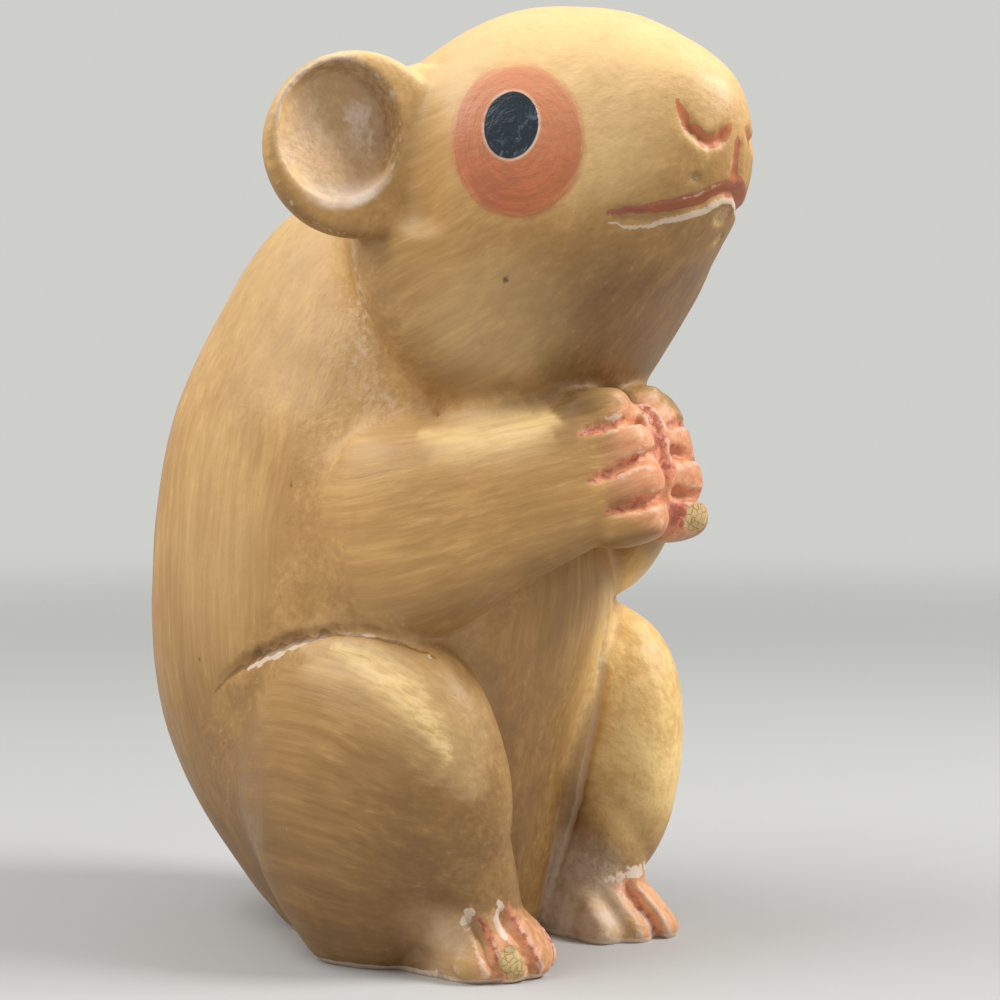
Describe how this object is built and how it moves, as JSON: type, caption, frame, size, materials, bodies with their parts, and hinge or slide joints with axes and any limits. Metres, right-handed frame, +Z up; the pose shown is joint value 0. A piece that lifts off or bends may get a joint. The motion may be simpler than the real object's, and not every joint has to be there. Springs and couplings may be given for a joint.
{
  "type": "wooden mouse figurine",
  "caption": "Carved and painted wooden mouse that sits upright on its haunches, its forepaws pressed together under a raised snout.",
  "frame": {"origin": "on the ground, in the middle of the figure's bounding box", "axes": "+Z up through the crown, the mouse faces -Y, its right side is towards -X"},
  "size_m": [0.1626, 0.2132, 0.28],
  "materials": {
    "painted_wood": "hand-brushed golden ochre paint with a soft shine, worn pale on the edges and in the creases"
  },
  "bodies": {
    "root": {"mouse": "painted_wood"}
  },
  "joints": []
}
